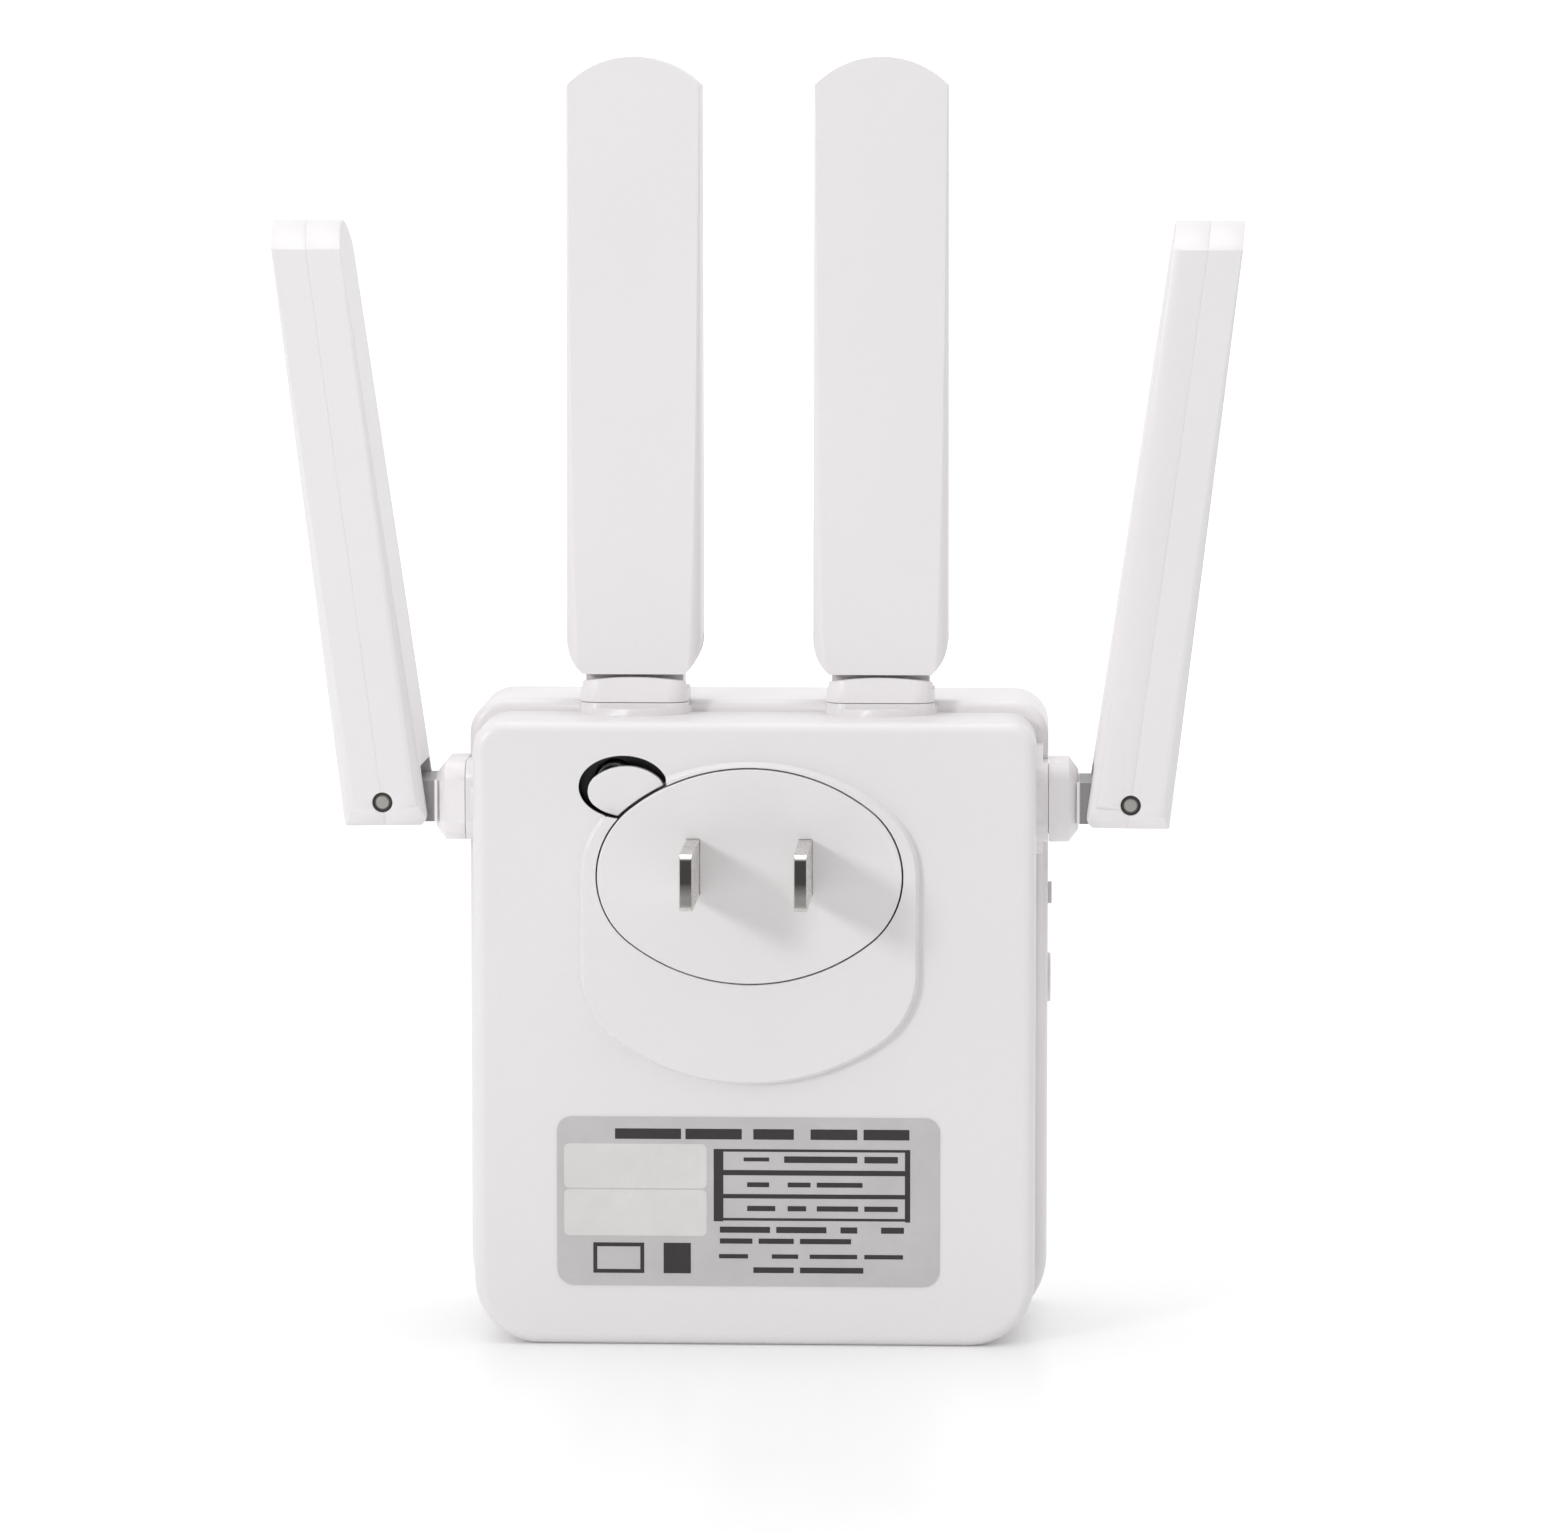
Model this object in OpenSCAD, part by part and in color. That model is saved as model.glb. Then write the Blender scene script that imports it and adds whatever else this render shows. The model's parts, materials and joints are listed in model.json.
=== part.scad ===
// Plug-in wifi range extender with four folding antennas and a lift-off plug.
// Millimetres. +Z is up, -Y is the rear (plug side), +X is right seen from the rear.
// The origin is the middle of the bottom face, on the plane where the two covers meet.

/* [Casing] */
// Width of the rear cover
rear_w = 63.7; // [60:0.1:66]
// Height of the rear cover
rear_h = 71.25; // [70:0.05:72]
// Depth of the rear cover, from the seam to its flat back
rear_d = 13; // [13:0.1:14]
// Step from the rear cover out to the front cover, at the sides and the top
step = 1.35; // [0.8:0.05:1.6]
// Depth of the front cover
front_d = 20; // [20:0.1:24]
// Wall of the rear cover
rear_wall = 1.8; // [1.5:0.1:2]
// Wall of the front cover
front_wall = 2.4; // [2:0.1:2.6]
// Radius of the upper corners of the rear cover
corner_top = 3.2; // [3:0.1:4]
// Radius of the lower corners of the rear cover
corner_low = 7.6; // [6:0.1:8]
// Rounding round the flat back
rear_round = 1.4; // [0.8:0.1:1.7]
// Rounding round the front face
front_round = 3; // [2.5:0.1:3.2]

/* [Plug] */
// How far the plug's middle stands to the right of the casing's middle
plug_x = -0.45; // [-0.6:0.05:0]
// Height of the plug's middle above the bottom face
plug_z = 53.85; // [53.6:0.05:54.5]
// Half width of the plug plate
plate_a = 17.2; // [17:0.1:18]
// Half height of the plug plate
plate_b = 12.15; // [12:0.05:12.7]
// Gap round the plug plate
plate_gap = 0.2; // [0.15:0.05:0.3]
// How far the land round the plug stands off the flat back
land_h = 1.3; // [1:0.1:2]
// How far the land reaches down below the plug
land_drop = 10.9; // [8:0.1:11]
// Distance between the middles of the two blades
blade_pitch = 12.7; // [12.7]
// Width of a blade
blade_w = 6.35; // [6.35]
// Thickness of a blade
blade_t = 1.5; // [1.5]
// Length of a blade outside the plate
blade_l = 16; // [15.9:0.1:18.3]

/* [Antennas] */
// Distance of each upper antenna from the middle
top_x = 14.05; // [13.5:0.05:14.5]
// Height of the side antennas' swivels
side_z = 61.4; // [61:0.1:61.5]
// Length of an antenna
ant_l = 70; // [60:1:80]
// Width of an antenna
ant_w = 15.4; // [15:0.1:16]
// Thickness of an antenna at its hinge
ant_t = 9.5; // [9.2:0.1:9.6]
// Thickness of an antenna at its tip
ant_tip_t = 7.7; // [7.4:0.1:8.4]
// How far the side antennas lean outwards at rest, in degrees
side_lean = 7.6; // [0:0.1:15]

/* [Buttons] */
// Height of the mode switch
mode_z = 50; // [48:0.5:52]
// Height of the pairing button
wps_z = 40; // [38:0.5:42]
// Height of the reset hole
reset_z = 28; // [26:0.5:30]

/* [Hidden] */
$fn = 64;

over = 1;                                // how far a cutting shape runs past a face
front_w = rear_w + 2 * step;
front_h = rear_h + step;
front_in_x = front_w / 2 - front_wall;   // inner faces of the front cover
front_in_y = front_d - front_wall;
rear_in_x = rear_w / 2 - rear_wall;      // inner faces of the rear cover
rim_r = 1.1;                             // rounding of the front cover's edge at the seam

// Swivels
barrel_r = 4;
swivel_gap = 0.08;                       // running clearance of a swivel's barrel
seat_r = 6.4;                            // boss that carries the barrel inside the casing
seat_depth = 4;                          // from the front cover's outside to the boss's end
ring_t = 0.8;
barrel_l = 5.9;
collar_a = 6.15;                         // half length of a collar, along the pin
collar_b = 4.53;                         // half width of a collar
collar_r = 2.2;                          // rounding of its corners
lift = 0.06;                             // gap under the collar
lip_y = 3.2;                             // inner face of the lip behind an upper antenna's foot
lip_gap = 0.35;                          // lip to foot
dome_r = 36;                             // the lip's top is slightly domed

// Hinges, in an antenna's own frame: pivot at the origin, antenna along +Z, slot on +Y
pin_r = 1.15;
pin_gap = 0.05;
pin_l = ant_w - 0.8;
knuckle_r = 2.7;
neck_t = 4.7;
tongue_a = 5.6;                          // half width of the tongue
slot_a = 5.7;                            // half width of the slot it turns in
foot = 3.4;                              // antenna below its pivot
back_wall = 1.5;
top_collar_h = 1.49;
side_collar_h = 3.39;
side_taper = 1.1;                        // outer part of a side collar, which narrows to the neck
top_neck = 5.15;                         // pivot to the collar, upper antennas
side_neck = 5.9;                         // pivot to the collar, side antennas
top_foot_r = 2.8;                        // rounding of the foot on the slot side
side_foot_r = 1.5;
top_pivot_z = front_h + lift + top_collar_h + top_neck;
side_pivot_x = front_w / 2 + lift + side_collar_h + side_neck;
side_fold = 90 - side_lean;              // turned this far from straight out

// Boards
board_y = 2;                             // rear face of the main board
board_t = 1.2;
board_front = board_y + board_t;
board_a = 27;                            // half width of the main board
board_top = 66;
board_foot = 15.5;                       // the board narrows below this, between the screw posts
board_foot_a = 16;
power_y = -1.8;                          // rear face of the power board, where its parts stand
power_t = 1.4;
post_x = 24;                             // screw posts of the main board
post_zs = [19, 62];
case_x = 18.5;                           // screws that hold the covers together
case_z = 10.5;
led_xs = [-16, -8, 0, 8, 16];
led_z = 24;

// Network sockets
jack_x = 8.1;
jack_w = 15.2;
jack_h = 13.2;
jack_l = 16;
jack_z = 0.3;
socket_w = 11.9;
socket_h = 7;
socket_l = 13;
socket_y = board_front + 3.4;            // wall of the socket that carries the contacts

// Plug socket and release button
function blade_x(s) = plug_x + s * blade_pitch / 2;
blade_z = plug_z + 1.1;
plate_face = -(rear_d + land_h + 0.2);
plate_back = -(rear_d - 2.8);
well_floor = plate_back + plate_gap;     // floor under the plug plate
cup_wall = 1.4;
button_x = -14.75;
button_z = 63.85;
button_a = 5;
button_b = 3.5;
stem_x = -15.9;
stem_z = 64.5;
stem_r = 1.3;
spring_bore = 2.3;
button_face = -(rear_d + 0.3);
button_t = 1.7;
guide_y = -6.4;                          // floor that the release spring stands on
guide_t = 1.2;

PLASTIC = [0.9, 0.89, 0.88];
DARK = [0.16, 0.16, 0.17];
STEEL = [0.62, 0.62, 0.63];
GOLD = [0.85, 0.68, 0.3];

// ---- shared shapes ----

module box(lo, hi) {
  translate(lo) cube(hi - lo);
}

module rod_x(at, len, r) {
  translate(at) rotate([0, 90, 0]) cylinder(r = r, h = len);
}

module rod_y(at, len, r) {
  translate(at) rotate([-90, 0, 0]) cylinder(r = r, h = len);
}

// A flat shape drawn in X and Z, made solid from y0 to y1
module slab_y(y0, y1) {
  translate([0, y1, 0]) rotate([90, 0, 0]) linear_extrude(y1 - y0) children();
}

// Rounded rectangle standing on y = 0, with its own radius for upper and lower corners
module outline(w, h, r_top, r_low) {
  translate([-w / 2, r_low]) square([w, h - r_top - r_low]);
  translate([-w / 2 + r_top, h - r_top]) square([w - 2 * r_top, r_top]);
  translate([-w / 2 + r_low, 0]) square([w - 2 * r_low, r_low]);
  for (s = [-1, 1]) {
    translate([s * (w / 2 - r_top), h - r_top]) circle(r_top);
    translate([s * (w / 2 - r_low), r_low]) circle(r_low);
  }
}

// Wall of a cover in section: x runs out to the outside at 0, y from the flat face to the rim
module wall_section(d, round, wall, rim) {
  inner = max(round - wall, 0);
  reach = round + 0.6;
  difference() {
    intersection() {
      translate([-reach, 0]) square([reach, d]);
      union() {
        translate([-reach, round]) square([reach, d - round - rim]);
        translate([-reach, round]) square([reach - rim, d - round]);
        translate([-reach, 0]) square([reach - round, round]);
        translate([-round, round]) circle(round);
        if (rim > 0) translate([-rim, d - rim]) circle(rim);
      }
    }
    translate([-reach - over, wall + inner]) square([reach + over - wall, d]);
    translate([-reach - over, wall]) square([reach + over - wall - inner, d]);
    if (inner > 0) translate([-wall - inner, wall + inner]) circle(inner);
  }
}

// Cover drawn flat: outline in X and Y, flat face at z = 0, open at z = d
module cover_shell(w, h, r_top, r_low, d, round, wall, rim) {
  linear_extrude(wall)
    translate([0, round])
      outline(w - 2 * round, h - 2 * round, r_top - round, r_low - round);
  translate([-(w / 2 - r_top), h, 0])
    rotate([90, 0, 90]) linear_extrude(w - 2 * r_top) wall_section(d, round, wall, rim);
  translate([w / 2 - r_low, 0, 0])
    rotate([90, 0, 270]) linear_extrude(w - 2 * r_low) wall_section(d, round, wall, rim);
  for (s = [0, 180])
    rotate([0, 0, s]) translate([w / 2, s == 0 ? h - r_top : -r_low, 0])
      rotate([90, 0, 0]) linear_extrude(h - r_top - r_low) wall_section(d, round, wall, rim);
  for (c = [[1, 1, 0], [-1, 1, 90], [-1, 0, 180], [1, 0, 270]]) {
    r = c[1] == 1 ? r_top : r_low;
    translate([c[0] * (w / 2 - r), c[1] == 1 ? h - r : r, 0])
      rotate([0, 0, c[2]]) rotate_extrude(angle = 90)
        translate([r, 0]) wall_section(d, round, wall, rim);
  }
}

// Four-arc oval of half sizes a and b; grow moves its whole edge outwards
function tip_r(b) = 0.78 * b;
function flat_r(a, b) = ((a - tip_r(b)) ^ 2 + b ^ 2 - tip_r(b) ^ 2) / (2 * (b - tip_r(b)));
function meet_x(a, b, grow) =
  (a - tip_r(b)) * (1 + (tip_r(b) + grow) / (flat_r(a, b) - tip_r(b)));

module oval(a, b, grow = 0) {
  t = tip_r(b);
  f = flat_r(a, b);
  m = meet_x(a, b, grow);
  intersection() {
    translate([0, b - f]) circle(f + grow);
    translate([0, f - b]) circle(f + grow);
    square([2 * m, 3 * b], center = true);
  }
  for (s = [-1, 1]) translate([s * (a - t), 0]) circle(t + grow);
}

// Oval block that narrows by inset over its height h, standing on z = 0
module oval_mound(a, b, h, inset) {
  t = tip_r(b);
  f = flat_r(a, b);
  m = meet_x(a, b, -inset);
  intersection() {
    translate([0, b - f, 0]) cylinder(r1 = f, r2 = f - inset, h = h);
    translate([0, f - b, 0]) cylinder(r1 = f, r2 = f - inset, h = h);
    translate([-m, -2 * b, 0]) cube([2 * m, 4 * b, h]);
  }
  for (s = [-1, 1]) translate([s * (a - t), 0, 0]) cylinder(r1 = t, r2 = t - inset, h = h);
}

// Outline of a collar and of the pad under it
module collar_outline() {
  square([2 * collar_a, 2 * (collar_b - collar_r)], center = true);
  square([2 * (collar_a - collar_r), 2 * collar_b], center = true);
  for (s = [-1, 1], t = [-1, 1])
    translate([s * (collar_a - collar_r), t * (collar_b - collar_r)]) circle(collar_r);
}

// The same outline standing h high and drawing in by inset on the way
module collar_taper(h, inset) {
  translate([collar_r - collar_a, 0, 0]) rotate([90, 0, 90])
    linear_extrude(2 * (collar_a - collar_r)) taper_profile(collar_b, h, inset);
  translate([0, collar_b - collar_r, 0]) rotate([90, 0, 0])
    linear_extrude(2 * (collar_b - collar_r)) taper_profile(collar_a, h, inset);
  for (s = [-1, 1], t = [-1, 1])
    translate([s * (collar_a - collar_r), t * (collar_b - collar_r), 0])
      cylinder(r1 = collar_r, r2 = collar_r - inset, h = h);
}

module taper_profile(half, h, inset) {
  polygon([[-half, 0], [half, 0], [half - inset, h], [inset - half, h]]);
}

// Places of the four swivels: each puts an antenna's straight axis on its swivel axis
module at_top(s) {
  translate([s * top_x, 0, top_pivot_z]) children();
}

module at_side(s) {
  translate([s * side_pivot_x, 0, side_z]) rotate([90, 0, s > 0 ? 90 : 270]) children();
}

// Same places with the origin where the swivel axis leaves the front cover
module at_top_seat(s) {
  translate([s * top_x, 0, front_h]) children();
}

module at_side_seat(s) {
  translate([s * front_w / 2, 0, side_z]) rotate([90, 0, s > 0 ? 90 : 270]) children();
}

module at_each_seat() {
  for (s = [-1, 1]) {
    at_top_seat(s) children();
    at_side_seat(s) children();
  }
}

// ---- casing ----

module seat_bosses() {
  at_each_seat() translate([0, 0, -seat_depth]) cylinder(r = seat_r, h = seat_depth - 0.6);
}

module seat_bores() {
  at_each_seat() {
    translate([0, 0, -seat_depth - over])
      cylinder(r = barrel_r + swivel_gap, h = seat_depth + 2 * over);
  }
}

module pads() {
  at_each_seat() translate([0, 0, -step - 0.6]) linear_extrude(step + 0.6) collar_outline();
}

module rear_half() {
  box([-60, -40, -10], [60, 0, 90]);
}

module front_half() {
  box([-60, 0, -10], [60, 40, 90]);
}

// Land round the plug: an oval, the same oval lower down, and the block between them
module land() {
  a = plate_a + 2;
  b = plate_b + 0.8;
  inset = 0.45;
  translate([plug_x, -rear_d, plug_z]) rotate([90, 0, 0]) oval_mound(a, b, land_h, inset);
  translate([plug_x, -rear_d, plug_z - land_drop]) rotate([90, 0, 0]) oval_mound(a, b, land_h, inset);
  translate([plug_x, -rear_d, plug_z - land_drop])
    linear_extrude(land_drop)
      polygon([[-a, 0], [a, 0], [a - inset, -land_h], [inset - a, -land_h]]);
}

module plug_oval(y0, y1, grow) {
  translate([plug_x, 0, plug_z]) slab_y(y0, y1) oval(plate_a, plate_b, grow);
}

module button_oval(y0, y1, grow) {
  translate([button_x, 0, button_z]) slab_y(y0, y1) oval(button_a, button_b, grow);
}

module rear_cover() color(PLASTIC) {
  difference() {
    union() {
      translate([0, -rear_d, 0]) mirror([0, 1, 0]) rotate([90, 0, 0])
        cover_shell(rear_w, rear_h, corner_top, corner_low, rear_d, rear_round, rear_wall, 0);
      land();
      plug_oval(-rear_d + 0.2, well_floor + cup_wall, plate_gap + cup_wall);
      button_oval(-rear_d + 0.2, well_floor + cup_wall, 1.2);
      rod_y([stem_x, -rear_d + 0.2, stem_z], rear_d - 0.2 + guide_y + guide_t, spring_bore + 1.2);
      intersection() {
        union() {
          seat_bosses();
          pads();
        }
        rear_half();
      }
      for (s = [-1, 1]) {
        rod_y([s * case_x, -rear_d + 0.2, case_z], rear_d - 0.2, 3.4);
        box([s * (rear_in_x - 0.3) - 0.9, -6, 20], [s * (rear_in_x - 0.3) + 0.9, 1.4, 50]);
      }
    }
    plug_oval(-rear_d - land_h - over, well_floor, plate_gap);
    button_oval(-rear_d - land_h - over, well_floor, 0);
    rod_y([stem_x, well_floor - over, stem_z], guide_y - well_floor + over, spring_bore);
    rod_y([stem_x, guide_y - over, stem_z], guide_t + 2 * over, stem_r + pin_gap);
    for (s = [-1, 1]) {
      box([blade_x(s) - 1.1, well_floor - over, blade_z - 3.6],
          [blade_x(s) + 1.1, well_floor + cup_wall + over, blade_z + 3.6]);
      rod_y([s * case_x, -rear_d - over, case_z], 3.5 + over, 2.5);
      rod_y([s * case_x, -rear_d, case_z], rear_d + over, 1.3);
    }
    seat_bores();
  }
}

module front_cover() color(PLASTIC) {
  $fn = 40;
  difference() {
    union() {
      translate([0, front_d, 0]) rotate([90, 0, 0])
        cover_shell(front_w, front_h, corner_top + 0.8, corner_low + 0.8, front_d,
                    front_round, front_wall, rim_r);
      intersection() {
        seat_bosses();
        front_half();
      }
      for (s = [-1, 1]) {
        rod_y([s * case_x, 0, case_z], front_in_y + 0.3, 2.4);
        for (z = post_zs) rod_y([s * post_x, board_front, z], front_in_y + 0.3 - board_front, 2.2);
      }
    }
    seat_bores();
    for (s = [-1, 1]) {
      rod_y([s * case_x, -over, case_z], 9 + over, 1.12);
      for (z = post_zs) rod_y([s * post_x, board_front - over, z], 7 + over, 0.92);
      box([s * jack_x - jack_w / 2 - 0.15, board_front - 0.15, -over],
          [s * jack_x + jack_w / 2 + 0.15, board_front + jack_h + 0.15, front_wall + over]);
    }
    for (x = led_xs) rod_y([x, front_in_y - over, led_z], front_wall + 2 * over, 1.05);
    side_openings();
    vents();
  }
}

side_y = board_front + 1.8;              // middle of the buttons on the side
plunger_r = 0.8;

module side_openings() {
  x0 = front_in_x - over;
  x1 = front_w / 2 + over;
  box([x0, side_y - 1.1, mode_z - 3.2], [x1, side_y + 1.1, mode_z + 3.2]);
  rod_x([x0, side_y + 1.2, wps_z - 1.2], x1 - x0, 1.8);
  rod_x([x0, side_y + 1.2, wps_z + 1.2], x1 - x0, 1.8);
  box([x0, side_y - 0.6, wps_z - 1.2], [x1, side_y + 3, wps_z + 1.2]);
  rod_x([x0, side_y, reset_z], x1 - x0, 0.9);
}

vent_zs = [for (i = [0:6]) 26 + 3.2 * i];

module vents() {
  for (z = vent_zs) {
    box([-front_w / 2 - over, 6, z - 0.6], [-front_in_x + over, 14, z + 0.6]);
    for (y = [6, 14]) rod_x([-front_w / 2 - over, y, z], front_wall + 2 * over, 0.6);
  }
}

label_w = 43.4;
label_h = 19.3;
label_x = -0.65;
label_z = 6.95;

module rating_label() color([0.78, 0.78, 0.78]) {
  translate([label_x, 0, label_z])
    slab_y(-rear_d - 0.15, -rear_d) outline(label_w, label_h, 1.6, 1.9);
}

module case_screws() color(STEEL) {
  for (s = [-1, 1]) difference() {
    union() {
      rod_y([s * case_x, -rear_d + 1.6, case_z], 1.9, 2.2);
      rod_y([s * case_x, -rear_d + 3.5, case_z], 16, 1.1);
    }
    cross_recess([s * case_x, -rear_d + 1.6, case_z], 1);
  }
}

// Cross recess of a screw head that faces the rear
module cross_recess(at, depth) {
  translate(at) for (w = [[2.6, 0.5], [0.5, 2.6]])
    box([-w[0] / 2, -over, -w[1] / 2], [w[0] / 2, depth, w[1] / 2]);
}

// ---- boards and what stands on them ----

module main_board() color([0.1, 0.35, 0.2]) {
  difference() {
    union() {
      box([-board_a, board_y, board_foot], [board_a, board_front, board_top]);
      box([-board_foot_a, board_y, 3], [board_foot_a, board_front, board_foot + over]);
    }
    for (s = [-1, 1], z = post_zs) rod_y([s * post_x, board_y - over, z], board_t + 2 * over, 1.1);
  }
}

module board_screws() color(STEEL) {
  for (s = [-1, 1], z = post_zs) difference() {
    union() {
      rod_y([s * post_x, board_y - 1.1, z], 1.1, 1.9);
      rod_y([s * post_x, board_y, z], 7, 0.9);
    }
    cross_recess([s * post_x, board_y - 1.1, z], 0.6);
  }
}

module insulator_sheet() color([0.93, 0.9, 0.7]) {
  box([-25, 0.5, 14.5], [25, 0.8, 41.5]);
}

module power_board() color([0.7, 0.6, 0.35]) {
  box([-24, power_y, 15.2], [24, power_y + power_t, 45]);
}

module board_link() color(DARK) {
  box([-5, power_y + power_t, 42.4], [5, board_y, 44.8]);
}

module shield_can() color([0.75, 0.76, 0.78]) {
  difference() {
    box([-11, board_front, 37], [11, board_front + 2.6, 57]);
    box([-10.7, board_front - over, 37.3], [10.7, board_front + 2.3, 56.7]);
  }
}

module wifi_chip() color(DARK) {
  box([-4.5, board_front, 42.5], [4.5, board_front + 1.1, 51.5]);
}

module memory_chip() color(DARK) {
  box([-21, board_front, 32], [-13, board_front + 1, 37]);
}

module status_leds() color([0.95, 0.95, 0.85]) {
  for (x = led_xs) box([x - 0.8, board_front, led_z - 0.4], [x + 0.8, board_front + 0.8, led_z + 0.4]);
}

module light_guide() color([0.85, 0.92, 0.95]) {
  for (x = led_xs) rod_y([x, board_front + 1.1, led_z], front_d - board_front - 1.1, 1);
  box([led_xs[0], 9, led_z - 0.7], [led_xs[4], 10.4, led_z + 0.7]);
}

module jack(s) color([0.2, 0.2, 0.21]) {
  x = s * jack_x;
  difference() {
    box([x - jack_w / 2, board_front, jack_z], [x + jack_w / 2, board_front + jack_h, jack_z + jack_l]);
    box([x - socket_w / 2, socket_y, -over], [x + socket_w / 2, socket_y + socket_h, socket_l]);
    box([x - 3.1, socket_y, -over], [x + 3.1, socket_y + socket_h + 1.5, socket_l]);
  }
}

module wan_jack() {
  jack(-1);
}

module lan_jack() {
  jack(1);
}

contact_pitch = 1.02;

module jack_contacts() color(GOLD) {
  for (s = [-1, 1], i = [-3.5:3.5])
    box([s * jack_x + i * contact_pitch - 0.18, socket_y, 3],
        [s * jack_x + i * contact_pitch + 0.18, socket_y + 0.8, 11]);
}

module reset_switch() color(DARK) {
  difference() {
    box([23, board_front, reset_z - 2.2], [27.4, board_front + 3.6, reset_z + 2.2]);
    rod_x([25, side_y, reset_z], 3, plunger_r + pin_gap);
  }
}

module reset_plunger() color([0.85, 0.84, 0.8]) {
  rod_x([25.5, side_y, reset_z], 3.4, plunger_r);
}

module wps_switch() color(DARK) {
  box([23, board_front, wps_z - 3], [27.6, board_front + 4.8, wps_z + 3]);
}

module wps_button() color(PLASTIC) {
  y = side_y + 1.2;
  x1 = front_w / 2 + 0.35;
  for (s = [-1, 1]) rod_x([29.4, y, wps_z + s * 1.2], x1 - 29.4, 1.65);
  box([29.4, y - 1.65, wps_z - 1.2], [x1, y + 1.65, wps_z + 1.2]);
  box([28.9, y - 2.6, wps_z - 3.8], [29.9, y + 2.6, wps_z + 3.8]);
  rod_x([28.4, y, wps_z], 1.5, 1.1);
}

module mode_switch() color([0.7, 0.7, 0.72]) {
  difference() {
    box([23.5, board_front, mode_z - 4.6], [29.8, board_front + 3.6, mode_z + 4.6]);
    box([27.8, side_y - 1.05, mode_z - 3.4], [29.8 + over, side_y + 1.05, mode_z + 3.4]);
  }
}

module mode_knob() color(DARK) {
  box([28.1, side_y - 0.85, mode_z - 1.2], [front_w / 2 + 0.45, side_y + 0.85, mode_z + 1.2]);
}

module transformer_core() color([0.25, 0.24, 0.23]) {
  difference() {
    box([2, power_y - 8.4, 16.5], [16, power_y - 0.6, 30]);
    box([4.2, power_y - 9.4, 18.8], [13.8, power_y, 21.4]);
    box([4.2, power_y - 9.4, 25.1], [13.8, power_y, 27.7]);
  }
}

module transformer_winding() color([0.85, 0.75, 0.2]) {
  difference() {
    box([4.3, power_y - 8.8, 18.9], [13.7, power_y, 27.6]);
    box([4.3 - over, power_y - 8.4 - 0.05, 21.35], [13.7 + over, power_y - 0.55, 25.15]);
  }
}

module input_capacitor() color([0.15, 0.16, 0.2]) {
  translate([-14, power_y - 4, 17]) cylinder(r = 4, h = 14);
}

module output_capacitor() color([0.12, 0.25, 0.2]) {
  translate([19.5, power_y - 3.2, 32]) cylinder(r = 3.2, h = 9);
}

module fuse() color([0.8, 0.8, 0.78]) {
  rod_x([-20, power_y - 1.8, 36], 10, 1.8);
}

contact_y = -7.8;

module contact_springs() color(GOLD) {
  for (s = [-1, 1]) {
    x = blade_x(s);
    box([x - 1.8, contact_y, 36], [x + 1.8, contact_y + 0.4, 58.5]);
    box([x - 1.8, contact_y, 36], [x + 1.8, power_y, 36.4]);
  }
}

cable_r = 0.65;
top_lead = 10.5;                         // how far an upper lead runs in from the outside
side_lead = 13.5;                        // the same for a side antenna's lead
lead_out = 1.5;                          // how far each reaches out into the neck

// Lead down a swivel's bore, which then turns to the board
module feed_cable(inner) {
  translate([0, 0, -inner]) cylinder(r = cable_r, h = inner + lead_out);
  translate([0, 0, -inner]) sphere(cable_r);
}

module feed_cables() color([0.1, 0.1, 0.1]) {
  for (s = [-1, 1]) {
    at_top_seat(s) feed_cable(top_lead);
    rod_y([s * top_x, 0, front_h - top_lead], board_y, cable_r);
    at_side_seat(s) feed_cable(side_lead);
    rod_y([s * (front_w / 2 - side_lead), 0, side_z], board_y, cable_r);
  }
}

// ---- plug and its release ----

module plug_plate() color(PLASTIC) {
  difference() {
    plug_oval(plate_face, plate_back, 0);
    for (s = [-1, 1])
      box([blade_x(s) - blade_t / 2, plate_face - over, blade_z - blade_w / 2],
          [blade_x(s) + blade_t / 2, plate_back + over, blade_z + blade_w / 2]);
  }
}

// Blade with a bevelled end, standing out of the plate, and its contact end inside
module plug_blade(s) color(STEEL) {
  tip = plate_face - blade_l;
  bevel = 0.7;
  thin = 0.15;
  half = blade_w / 2;
  intersection() {
    translate([blade_x(s) - blade_t / 2, 0, blade_z]) rotate([90, 0, 90])
      linear_extrude(blade_t)
        polygon([[contact_y - 0.1, -half], [contact_y - 0.1, half], [tip + bevel, half],
                 [tip, half - bevel], [tip, bevel - half], [tip + bevel, -half]]);
    translate([blade_x(s), 0, blade_z - half])
      linear_extrude(blade_w)
        polygon([[-blade_t / 2, contact_y], [blade_t / 2, contact_y], [blade_t / 2, tip + bevel],
                 [blade_t / 2 - thin, tip], [thin - blade_t / 2, tip], [-blade_t / 2, tip + bevel]]);
  }
}

module plug_blade_left() {
  plug_blade(-1);
}

module plug_blade_right() {
  plug_blade(1);
}

module release_button() color(PLASTIC) {
  difference() {
    translate([0.35, 0, -0.5]) button_oval(button_face, button_face + button_t, -0.65);
    plug_oval(button_face - over, button_face + button_t + over, plate_gap + 0.15);
  }
  rod_y([stem_x, button_face + button_t - 0.4, stem_z],
        guide_y + guide_t + 1 - button_face - button_t + 0.4, stem_r);
  rod_y([stem_x, guide_y + guide_t + 0.15, stem_z], 0.85, stem_r + 0.5);
}

spring_turns = 5;
spring_wire = 0.2;
spring_r = 1.8;
spring_steps = 14;
spring_sides = 8;

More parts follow.
